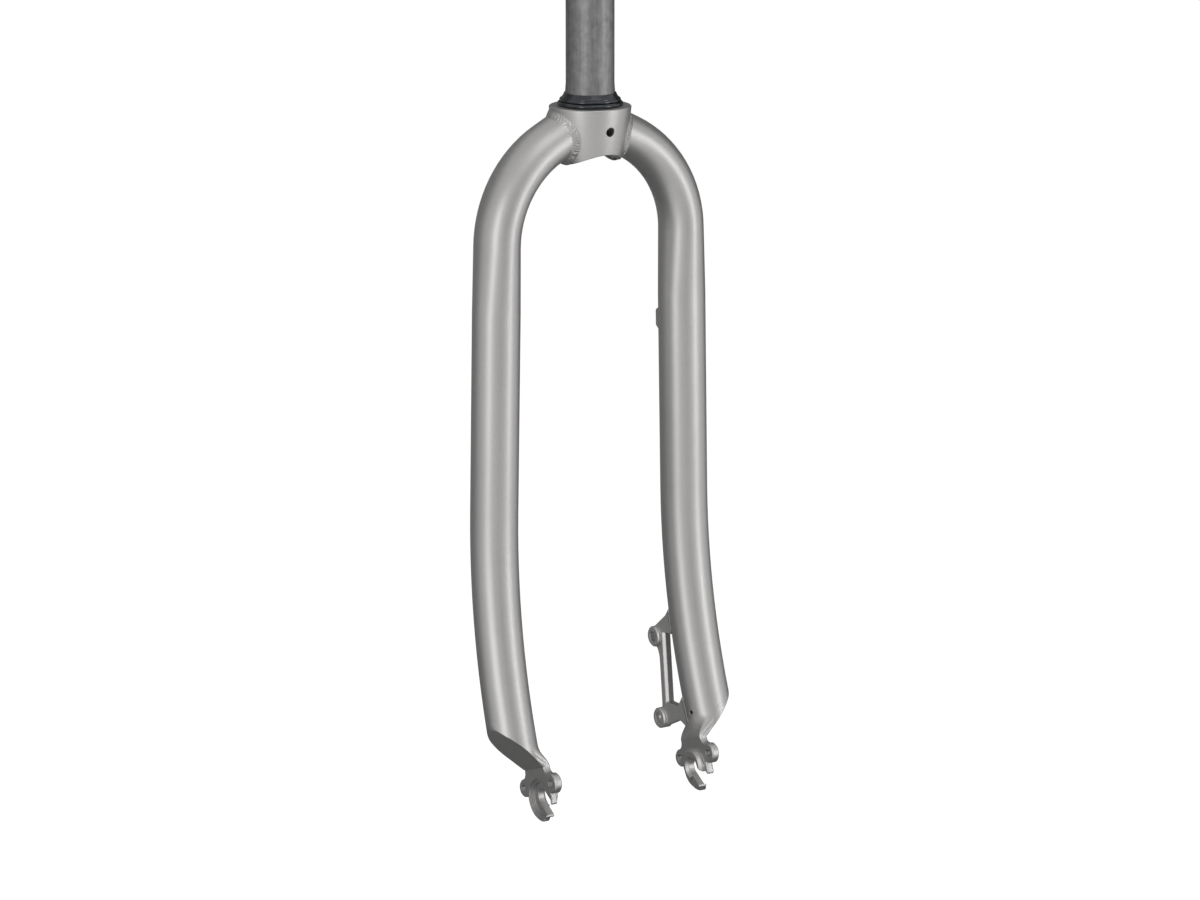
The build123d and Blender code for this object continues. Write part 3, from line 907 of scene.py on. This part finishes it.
@dataclass
class WeldBeads:
    """Rippled weld beads between the legs and the collar, and round the feet of the brake mount."""

    leg: LegLine
    crown_size: BeadSize = BeadSize(width=3.3, height=0.5, seat=2.0, ripple=1.8, relief=0.17, dip=0.2)
    brake_size: BeadSize = BeadSize(width=1.4, height=0.45, seat=0.55, ripple=1.1, relief=0.04, dip=0.3)
    wobble: float = 0.22
    wobble_scale: float = 260.0
    wobble_detail: float = 1.0
    jitter: float = 2.2
    bow: float = 1.1
    crown_points: int = 540
    brake_round: float = 1.8
    brake_step: float = 0.2
    profile_points: int = 32
    upper_inner: Span = (-317.0, -329.2)
    upper_outer: Span = (-322.6, -329.9)
    lower_inner: Span = (-368.6, -382.8)
    lower_outer: Span = (-373.2, -383.0)
    tree: bpy.types.NodeTree | None = field(default=None, init=False)

    def sweep(self, graph: Graph, have: Sockets) -> bpy.types.NodeSocket:
        """Sweep a flat oval along the seam, and mark how far along and across each point lies.

        Args:
            graph: The tree's graph.
            have: The tree's inputs.

        Returns:
            The bead's smooth skin.
        """
        outward = graph.attribute("outward", "FLOAT_VECTOR")
        seam = graph.add("GeometryNodeMeshToCurve", {0: have["Geometry"]})
        faced = graph.add("GeometryNodeSetCurveNormal", {"Curve": seam.outputs[0]}, mode="FREE")
        graph.feed(faced.inputs["Normal"], outward)
        length = graph.add("GeometryNodeSplineParameter").outputs["Length"]
        along = graph.store(faced.outputs[0], "along", length)
        ring = {"Resolution": self.profile_points, "Radius": 1.0}
        circle = graph.add("GeometryNodeCurvePrimitiveCircle", ring)
        spot = graph.add("ShaderNodeSeparateXYZ", {0: graph.add("GeometryNodeInputPosition").outputs[0]})
        across = graph.store(circle.outputs[0], "across", spot.outputs["Y"])
        oval = graph.add("ShaderNodeCombineXYZ", {0: have["Height"], 1: have["Width"], 2: 1.0})
        profile = graph.add("GeometryNodeTransform", {"Geometry": across, "Scale": oval.outputs[0]})
        swept = {"Curve": along, "Profile Curve": profile.outputs[0]}
        return graph.add("GeometryNodeCurveToMesh", swept).outputs[0]

    def ripples(self, graph: Graph, have: Sockets) -> bpy.types.NodeSocket:
        """Work out crescent ripples that fade at the rims, on a slightly uneven bead.

        Args:
            graph: The tree's graph.
            have: The tree's inputs.

        Returns:
            How far each point is lifted.
        """
        run, side = graph.attribute("along"), graph.attribute("across")
        rim = graph.math("MULTIPLY", side, side)
        grain = {"Scale": have["Wobble Scale"], "Detail": self.wobble_detail}
        uneven = graph.add("ShaderNodeTexNoise", grain).outputs["Fac"]
        bowed = graph.math("MULTIPLY", rim, have["Bow"])
        curl = graph.math("ADD", bowed, graph.math("MULTIPLY", uneven, have["Jitter"]))
        turns = graph.math("ADD", graph.math("DIVIDE", run, have["Ripple"]), curl)
        wave = graph.math("COSINE", graph.math("MULTIPLY", turns, 2 * math.pi))
        hump = graph.math("SUBTRACT", graph.math("MULTIPLY", wave, have["Relief"]), have["Dip"])
        sway = graph.math("MULTIPLY", graph.math("SUBTRACT", uneven, 0.5), have["Wobble"])
        middle = graph.math("SUBTRACT", 1.0, rim)
        return graph.math("ADD", graph.math("MULTIPLY", hump, middle), sway)

    def build_tree(self) -> bpy.types.NodeTree:
        """Build the tree that lays a rippled bead along a seam.

        Returns:
            The tree.
        """
        sizes = ("Width", "Height", "Ripple", "Relief", "Dip", "Wobble", "Wobble Scale", "Jitter", "Bow")
        graph, have, output = geometry_tree("weld_bead", sizes)
        skin = self.sweep(graph, have)
        normal = graph.add("GeometryNodeInputNormal").outputs[0]
        lifted = {"Geometry": skin, "Offset": graph.scaled(normal, self.ripples(graph, have))}
        rippled = graph.add("GeometryNodeSetPosition", lifted)
        close_tree(graph, rippled.outputs[0], have["Material"], output)
        return graph.tree

    def lay(self, name: str, seam: Seam, size: BeadSize, finish: bpy.types.Material) -> bpy.types.Object:
        """Lay one closed bead.

        Args:
            name: Name of the frame's node that the bead stands for.
            seam: Points of the seam with their outward directions.
            size: Size of the bead.
            finish: Its material.

        Returns:
            The bead.
        """
        points = [point for point, _outward in seam]
        count = len(points)
        total = sum((points[i] - points[i - 1]).length for i in range(count))
        bead = new_mesh(f"{name}_bead", points, [(i, (i + 1) % count) for i in range(count)])
        facing = bead.data.attributes.new("outward", "FLOAT_VECTOR", "POINT")
        facing.data.foreach_set("vector", [c for _point, outward in seam for c in outward])
        self.tree = self.tree or self.build_tree()
        values = {
            "Width": size.width * MM,
            "Height": size.height * MM,
            "Ripple": total / round(total / size.ripple) * MM,
            "Relief": size.relief * MM,
            "Dip": size.dip * MM,
            "Wobble": self.wobble * MM,
            "Wobble Scale": self.wobble_scale,
            "Jitter": self.jitter,
            "Bow": self.bow,
            "Material": finish,
        }
        grow(bead, self.tree, values)
        marks = bead.data.attributes
        for mark in [m for m in ("outward", "along", "across") if m in marks]:
            marks.remove(marks[mark])
        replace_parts(settle(bead), name)
        return bead

    def crown(self, side: Side, finish: bpy.types.Material) -> bpy.types.Object:
        """Lay the bead between one leg and the collar.

        Args:
            side: Side of the bicycle.
            finish: Its material.

        Returns:
            The bead.
        """
        turns = [2 * math.pi * i / self.crown_points for i in range(self.crown_points)]
        flip = Matrix.Diagonal((side.value, 1.0, 1.0))
        seam = [tuple(flip @ v for v in self.leg.collar_seam(a, self.crown_size.seat)) for a in turns]
        return self.lay(f"crown_weld_{side.name.lower()}", seam, self.crown_size, finish)

    def foot_path(self, inner: Span, outer: Span) -> list[Vector]:
        """Go round the foot of a brake mount arm, seen from behind, with rounded corners.

        Args:
            inner: Top and bottom of the foot on its inner plane.
            outer: Top and bottom of the foot on its outer plane.

        Returns:
            X and height of points all round.
        """
        low_x, high_x = ARM_FACES
        spots = ((low_x, inner[0]), (low_x, inner[1]), (high_x, outer[1]), (high_x, outer[0]))
        corners = [Vector(spot) for spot in spots]
        path = []
        for i, corner in enumerate(corners):
            before, after = corners[i - 1], corners[(i + 1) % len(corners)]
            enter = corner + (before - corner).normalized() * self.brake_round
            leave = corner + (after - corner).normalized() * self.brake_round
            arrive = after + (corner - after).normalized() * self.brake_round
            bend = max(2, round(2 * self.brake_round / self.brake_step))
            run = max(1, round((arrive - leave).length / self.brake_step))
            shares = [step / bend for step in range(bend)]
            path += [enter.lerp(corner, u).lerp(corner.lerp(leave, u), u) for u in shares]
            path += [leave.lerp(arrive, step / run) for step in range(run)]
        return path

    def foot_seam(self, inner: Span, outer: Span) -> Seam:
        """Lay the path round the foot of an arm on the back of the leg.

        Args:
            inner: Top and bottom of the foot on its inner plane.
            outer: Top and bottom of the foot on its outer plane.

        Returns:
            Points of the seam with their outward directions.
        """
        path = self.foot_path(inner, outer)
        seam = []
        for i, spot in enumerate(path):
            way = path[(i + 1) % len(path)] - path[i - 1]
            point, normal = self.leg.back_point(spot.x, spot.y)
            outward = (normal + Vector((way.y, 0.0, -way.x)).normalized()).normalized()
            seam.append((point + outward * self.brake_size.seat, outward))
        return seam

    def brake(self, finish: bpy.types.Material) -> list[bpy.types.Object]:
        """Lay the beads at the feet of both arms.

        Args:
            finish: Their material.

        Returns:
            The beads.
        """
        feet = {
            "brake_weld_upper": self.foot_seam(self.upper_inner, self.upper_outer),
            "brake_weld_lower": self.foot_seam(self.lower_inner, self.lower_outer),
        }
        return [self.lay(name, seam, self.brake_size, finish) for name, seam in feet.items()]


@dataclass
class NeckFairings:
    """Smooth skins over the necks of the dropouts, where the round leg turns into the flat plate."""

    leg: LegLine
    top: float = -2.9
    bottom: float = 11.6
    sink: float = 0.06
    proud: float = 0.03
    run_out: float = 2.4
    inset: float = 0.05
    neck_width: float = 23.4
    neck_back: float = 1.2
    bevel: float = 0.7
    corner_turns: tuple[float, ...] = (52.0, 58.0, 122.0, 128.0, 232.0, 238.0, 302.0, 308.0)
    rings: int = 36
    edge_steps: int = 14
    sharp_turn: float = 60.0

    def flat_corners(self, lift: float) -> list[Vector]:
        """Give the corners of the bevelled neck in the order of their turns.

        Args:
            lift: Distance over the plate's own faces.

        Returns:
            Eight points across the leg, outward and to the rear.
        """
        inner, outer = PLATE_FACES
        low = self.leg.mitre + self.leg.tail_way * self.bottom
        middle = ((inner + outer) / 2 - low.x) / self.leg.outward.x
        thick, wide = (outer - inner) / 2 + lift, self.neck_width / 2 + lift
        near, side = thick - self.bevel, wide - self.bevel
        half = [(thick, side), (near, wide), (-near, wide), (-thick, side)]
        corners = half + [(x, -y) for x, y in reversed(half)]
        return [Vector((x + middle, y - self.neck_back)) for x, y in corners]

    def section(self, share: float, lift: float) -> list[Vector]:
        """Give a section of the fairing.

        Args:
            share: 0 for the round leg, 1 for the flat neck.
            lift: Distance over the plate's own faces.

        Returns:
            Points across the leg, outward and to the rear.
        """
        flat = self.flat_corners(lift)
        radius = self.leg.radius - self.sink
        spots = []
        for i in range(len(flat) - 1):
            for step in range(self.edge_steps):
                part = step / self.edge_steps
                turn = math.radians(self.corner_turns[i] * (1 - part) + self.corner_turns[i + 1] * part)
                around = Vector((math.cos(turn), math.sin(turn))) * radius
                spots.append(around.lerp(flat[i].lerp(flat[i + 1], part), share))
        return spots

    def build(self, finish: bpy.types.Material) -> list[bpy.types.Object]:
        """Lay the skins on both legs.

        Args:
            finish: Their material.

        Returns:
            The skins.
        """
        levels = []
        for ring in range(self.rings):
            part = ring / (self.rings - 1)
            along = self.top + (self.bottom - self.top) * part
            levels.append((along, self.section(part * part * (3 - 2 * part), self.proud)))
        levels.append((self.bottom + self.run_out, self.section(1.0, -self.inset)))
        points = []
        for along, spots in levels:
            level = self.leg.mitre + self.leg.tail_way * along
            limit = -along - self.inset
            points += [level + self.leg.outward * min(s.x, limit) + self.leg.rear * s.y for s in spots]
        faces = loft_faces(len(levels), len(levels[0][1]))
        skins = []
        for side in Side:
            flip = Matrix.Diagonal((side.value, 1.0, 1.0))
            turned = faces if side is Side.LEFT else [face[::-1] for face in faces]
            skin = new_mesh(f"neck_fairing_{side.name.lower()}", [flip @ p for p in points], [], turned)
            skin.data.materials.append(finish)
            skin.data.shade_smooth()
            skin.data.set_sharp_from_angle(angle=math.radians(self.sharp_turn))
            skins.append(settle(skin))
        return skins


@dataclass
class BrakeWeb:
    """Skin over the bar of the brake mount, which runs it smoothly into both bosses and the upper arm.

    Levels and places are measured up and forward from the upper caliper hole.
    """

    upper_hole: Span = (-14.06, -335.56)
    lead: float = 6.8
    lean: float = 0.1115
    width: float = 4.8
    widen: float = 0.9
    chamfer: float = 1.5
    proud: float = 0.03
    inset: float = 0.05
    run_out: float = 2.4
    top: float = 5.2
    bottom: float = -45.5
    upper_round: Span = (-14.5, -6.2)
    upper_reach: float = 3.9
    lower_round: Span = (-41.0, -44.6)
    lower_reach: float = 1.6
    bore_clear: float = 5.0
    level_step: float = 0.6

    @staticmethod
    def rounding(up: float, ends: Span) -> float:
        """Give how far round a hollow corner a level is, from 0 at its start to 1 at its end."""
        share = min(max((up - ends[0]) / (ends[1] - ends[0]), 0.0), 1.0)
        return 1.0 - math.sqrt(1.0 - share * share)

    def rear(self, up: float) -> float:
        """Give the rear edge of the bar, which keeps clear of the upper bore.

        Args:
            up: The level.

        Returns:
            Its place forward of the upper hole.
        """
        if up > self.upper_round[1]:
            return math.sqrt(max(self.bore_clear**2 - up * up, 0.0))
        straight = self.lead - self.lean * up - self.width / 2 - self.widen
        upper = self.upper_reach * self.rounding(up, self.upper_round)
        return straight - upper - self.lower_reach * self.rounding(up, self.lower_round)

    def section(self, up: float) -> list[Vector]:
        """Give the bar's section at a level, with its front edge bevelled.

        Args:
            up: The level.

        Returns:
            Points in the frame.
        """
        to_end = min(up - self.bottom, self.top - up, self.run_out) / self.run_out
        lift = self.proud * to_end - self.inset * (1.0 - to_end)
        front, rear = self.lead - self.lean * up + self.width / 2, self.rear(up)
        face, back = ARM_FACES
        outline = [
            (face - lift, rear),
            (face - lift, front - self.chamfer),
            (face + self.chamfer, front + lift),
            (back + lift, front + lift),
            (back + lift, rear),
        ]
        ahead, height = self.upper_hole
        return [Vector((x, -ahead - forward, height + up)) for x, forward in outline]

    def build(self, finish: bpy.types.Material) -> bpy.types.Object:
        """Lay the skin.

        Args:
            finish: Its material.

        Returns:
            The skin.
        """
        count = math.ceil((self.top - self.bottom) / self.level_step)
        levels = [self.bottom + (self.top - self.bottom) * i / count for i in range(count + 1)]
        sections = [self.section(up) for up in levels]
        faces = loft_faces(len(sections), len(sections[0]))
        skin = new_mesh("brake_bar_web", [p for section in sections for p in section], [], faces)
        skin.data.materials.append(finish)
        return settle(skin)


@dataclass
class EyeletThreads:
    """Cut threads in the four eyelets of the dropouts, which lean as the legs are raked."""

    leg: LegLine
    axle_forward: float = 35.46
    axle_z: float = -405.89
    spacing: float = 32.6
    rise: float = 6.8
    hole_radius: float = 2.3
    pitch: float = 0.8
    ridge: float = 0.32
    ridge_points: int = 6
    steps_per_turn: int = 28

    def centres(self) -> list[Vector]:
        """Give the end of every eyelet that has the lower X.

        Returns:
            Four points.
        """
        lean = math.radians(self.leg.rake_angle)
        inner, outer = PLATE_FACES
        found = []
        for side in Side:
            low = inner if side is Side.LEFT else -outer
            for end in (-self.spacing / 2, self.spacing / 2):
                ahead = end * math.cos(lean) - self.rise * math.sin(lean)
                up = end * math.sin(lean) + self.rise * math.cos(lean)
                found.append(Vector((low, -self.axle_forward - ahead, self.axle_z + up)))
        return found

    def build_tree(self) -> bpy.types.NodeTree:
        """Build the tree that sets a threaded ridge at each point, along X.

        Returns:
            The tree.
        """
        graph, have, output = geometry_tree("eyelet_thread", ("Turns", "Radius", "Length", "Ridge"))
        winding = {
            "Resolution": self.steps_per_turn,
            "Rotations": have["Turns"],
            "Start Radius": have["Radius"],
            "End Radius": have["Radius"],
            "Height": have["Length"],
        }
        helix = graph.add("GeometryNodeCurveSpiral", winding)
        ring = {"Resolution": self.ridge_points, "Radius": have["Ridge"]}
        ridge = graph.add("GeometryNodeCurvePrimitiveCircle", ring)
        swept = {"Curve": helix.outputs[0], "Profile Curve": ridge.outputs[0], "Fill Caps": True}
        thread = graph.add("GeometryNodeCurveToMesh", swept)
        along_x = {"Geometry": thread.outputs[0], "Rotation": (0.0, math.pi / 2, 0.0)}
        laid = graph.add("GeometryNodeTransform", along_x)
        spread = {"Points": have["Geometry"], "Instance": laid.outputs[0]}
        each = graph.add("GeometryNodeInstanceOnPoints", spread)
        close_tree(graph, each.outputs[0], have["Material"], output)
        return graph.tree

    def build(self, finish: bpy.types.Material) -> bpy.types.Object:
        """Cut the threads.

        Args:
            finish: Their material.

        Returns:
            All the threads as one piece.
        """
        inner, outer = PLATE_FACES
        length = outer - inner - 2 * self.ridge
        points = [p + Vector((self.ridge, 0.0, 0.0)) for p in self.centres()]
        threads = new_mesh("eyelet_threads", points, [])
        values = {
            "Turns": length / self.pitch,
            "Radius": self.hole_radius * MM,
            "Length": length * MM,
            "Ridge": self.ridge * MM,
            "Material": finish,
        }
        grow(threads, self.build_tree(), values)
        return settle(threads)


@dataclass
class FrameDress:
    """Finishes of the frame's own solids."""

    finishes: dict[Slot, bpy.types.Material]
    own: dict[str, bpy.types.Material]
    bare: dict[str, Slot] = field(
        default_factory=lambda: {
            "steerer_tube": Slot.STEERER,
            "crown_race": Slot.RACE,
            "race_seal": Slot.SEAL,
        }
    )

    def dress(self) -> None:
        """Give every node of the frame its own finish, or that of its slot."""
        for name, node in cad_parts.items():
            slot = self.bare.get(name, Slot.PAINT)
            node.data.materials.clear()
            node.data.materials.append(self.own.get(name, self.finishes[slot]))
            log.info("%s: %s", name, slot.value)


@dataclass(frozen=True)
class Softbox:
    """Soft light on a stand, at a turn from the camera's side."""

    name: str
    turn: float
    distance: float
    height: float
    size: Span
    power: float


@dataclass(frozen=True)
class Flag:
    """Dark cloth on a stand, which only reflections see."""

    name: str
    turn: float
    distance: float
    height: float
    size: Span
    shade: float


@dataclass
class Studio:
    """Camera, floor, soft lights and dark flags round the fork, in metres."""

    camera_place: tuple[float, float, float] = (-1.25148, -2.00278, 0.35336)
    camera_aim: tuple[float, float, float] = (0.51758, 0.82379, -0.23125)
    lens: float = 121.74
    sensor: float = 36.0
    clip: Span = (0.05, 100.0)
    middle: tuple[float, float, float] = (0.0, 0.0, -0.2)
    floor_z: float = -0.75
    floor_size: float = 40.0
    floor_shade: float = 0.75
    floor_glow: float = 0.82
    fill_strength: float = 0.25
    boxes: tuple[Softbox, ...] = (
        Softbox("key_box", -30.0, 1.6, 0.2, (0.35, 1.3), 6.0),
        Softbox("side_box", 68.0, 1.6, 0.12, (0.35, 1.3), 6.0),
        Softbox("top_box", 35.0, 0.7, 1.5, (1.0, 1.0), 4.0),
    )
    flags: tuple[Flag, ...] = (
        Flag("flag_left", -132.0, 1.4, 0.1, (2.4, 2.6), 0.28),
        Flag("flag_right", 164.0, 1.4, 0.1, (2.4, 2.6), 0.08),
        Flag("flag_front", 22.0, 2.2, 0.1, (0.6, 2.6), 0.45),
    )
    low_shade: float = 0.15
    low_reach: Span = (0.42, 2.2)
    low_width: float = 2.6
    low_shift: float = -0.45
    low_rise: float = 0.01

    def add_camera(self) -> None:
        """Put the camera where the photograph was taken from."""
        data = bpy.data.cameras.new("camera")
        data.lens, data.sensor_width, data.sensor_fit = self.lens, self.sensor, "HORIZONTAL"
        data.clip_start, data.clip_end = self.clip
        camera = bpy.data.objects.new("camera", data)
        camera.location = self.camera_place
        camera.rotation_euler = Vector(self.camera_aim).to_track_quat("-Z", "Y").to_euler()
        bpy.context.scene.collection.objects.link(camera)
        bpy.context.scene.camera = camera

    def around(self, turn: float, distance: float, height: float) -> Vector:
        """Give a place round the fork.

        Args:
            turn: Angle from the camera's side, positive to the right of the picture.
            distance: Distance from the fork.
            height: Height over the middle of the fork.

        Returns:
            The place.
        """
        back = -Vector((self.camera_aim[0], self.camera_aim[1], 0.0)).normalized()
        spun = Matrix.Rotation(math.radians(turn), 3, "Z") @ back
        return Vector(self.middle) + spun * distance + Vector((0.0, 0.0, height))

    def add_softbox(self, box: Softbox) -> None:
        """Add a soft light that faces the fork.

        Args:
            box: The light.
        """
        data = bpy.data.lights.new(box.name, "AREA")
        data.shape, data.energy = "RECTANGLE", box.power
        data.size, data.size_y = box.size
        light = bpy.data.objects.new(box.name, data)
        light.location = self.around(box.turn, box.distance, box.height)
        facing = (Vector(self.middle) - light.location).to_track_quat("-Z", "Y")
        light.rotation_euler = facing.to_euler()
        bpy.context.scene.collection.objects.link(light)

    def upright_panel(self, flag: Flag) -> list[Vector]:
        """Give the corners of a flag that faces the fork.

        Args:
            flag: The flag.

        Returns:
            The four corners.
        """
        centre = self.around(flag.turn, flag.distance, flag.height)
        face = (Vector(self.middle) - centre).to_track_quat("Z", "Y").to_matrix()
        wide, high = flag.size[0] / 2, flag.size[1] / 2
        corners = [(-wide, -high), (wide, -high), (wide, high), (-wide, high)]
        return [centre + face @ Vector((x, y, 0.0)) for x, y in corners]

    def low_panel(self) -> list[Vector]:
        """Give the corners of the panel that lies low under and behind the fork.

        Returns:
            The four corners.
        """
        front, rear = self.low_reach
        height = self.floor_z - self.middle[2] + self.low_rise
        across = self.around(90.0, self.low_width / 2, 0.0) - Vector(self.middle)
        near, far = self.around(180.0, -front, height), self.around(180.0, rear, height)
        left, right = across * (self.low_shift - 1), across * (self.low_shift + 1)
        return [near + left, near + right, far + right, far + left]

    def add_panel(self, name: str, corners: list[Vector], look: bpy.types.Material) -> bpy.types.Object:
        """Add a flat panel that isn't part of the fork.

        Args:
            name: Name of the panel.
            corners: Its corners.
            look: Its material.

        Returns:
            The panel.
        """
        mesh = bpy.data.meshes.new(name)
        mesh.from_pydata(corners, [], [(0, 1, 2, 3)])
        mesh.materials.append(look)
        panel = bpy.data.objects.new(name, mesh)
        bpy.context.scene.collection.objects.link(panel)
        return panel

    def add_flag(self, name: str, corners: list[Vector], shade: float) -> None:
        """Add a flag which only reflections see.

        Args:
            name: Name of the flag.
            corners: Its corners.
            shade: Brightness that a reflection of it shows.
        """
        look, graph = empty_material(f"{name}_cloth")
        glow = graph.add("ShaderNodeEmission", {"Color": grey(shade), "Strength": 1.0})
        graph.add("ShaderNodeOutputMaterial", {"Surface": glow.outputs[0]})
        panel = self.add_panel(name, corners, look)
        panel.visible_camera = panel.visible_diffuse = panel.visible_shadow = False

    def add_floor(self) -> None:
        """Add the pale floor, which shows white with the fork's soft shadow."""
        look, graph = empty_material("studio_floor")
        strength = graph.math("MULTIPLY", graph.seen(), self.floor_glow)
        matte = graph.add("ShaderNodeBsdfDiffuse", {"Color": grey(self.floor_shade)})
        glow = graph.add("ShaderNodeEmission", {"Color": grey(1.0), "Strength": strength})
        both = graph.add("ShaderNodeAddShader", {0: matte.outputs[0], 1: glow.outputs[0]})
        graph.add("ShaderNodeOutputMaterial", {"Surface": both.outputs[0]})
        half = self.floor_size / 2
        corners = [(-half, -half), (half, -half), (half, half), (-half, half)]
        self.add_panel("floor", [Vector((x, y, self.floor_z)) for x, y in corners], look)

    def add_world(self) -> None:
        """Make the world white where it is seen or mirrored, and a soft grey fill elsewhere."""
        world = bpy.data.worlds.new("studio")
        world.use_nodes = True
        world.node_tree.nodes.clear()
        graph = Graph(world.node_tree)
        fill = graph.add("ShaderNodeBackground", {"Color": grey(1.0), "Strength": self.fill_strength})
        white = graph.add("ShaderNodeBackground", {"Color": grey(1.0), "Strength": 1.0})
        both = graph.add("ShaderNodeMixShader", {0: graph.seen(), 1: fill.outputs[0], 2: white.outputs[0]})
        graph.add("ShaderNodeOutputWorld", {"Surface": both.outputs[0]})
        bpy.context.scene.world = world

    def build(self) -> None:
        """Set up the whole studio."""
        self.add_camera()
        self.add_floor()
        self.add_world()
        for box in self.boxes:
            self.add_softbox(box)
        for flag in self.flags:
            self.add_flag(flag.name, self.upright_panel(flag), flag.shade)
        self.add_flag("flag_low", self.low_panel(), self.low_shade)
        bpy.context.scene.view_settings.view_transform = "Standard"


def main() -> None:
    """Dress the fork, lay its beads, skins and threads, and set up the studio."""
    logging.basicConfig(level=logging.INFO, format="%(name)s: %(message)s")
    effects = Effects()
    finishes = {slot: finish.build(effects) for slot, finish in FINISHES.items()}
    # The brake mount and its bar web take the lighter copy of the paint, which is painted light.
    paint, mount_paint_painted_light = finishes[Slot.PAINT], MOUNT_PAINT_WITH_PAINTED_LIGHT.build(effects)
    FrameDress(finishes, {"disc_brake_mount": mount_paint_painted_light}).dress()
    beads = WeldBeads(LEG)
    for side in Side:
        beads.crown(side, paint)
    beads.brake(paint)
    NeckFairings(LEG).build(paint)
    BrakeWeb().build(mount_paint_painted_light)
    EyeletThreads(LEG).build(paint)
    Studio().build()


if __name__ == "__main__":
    main()
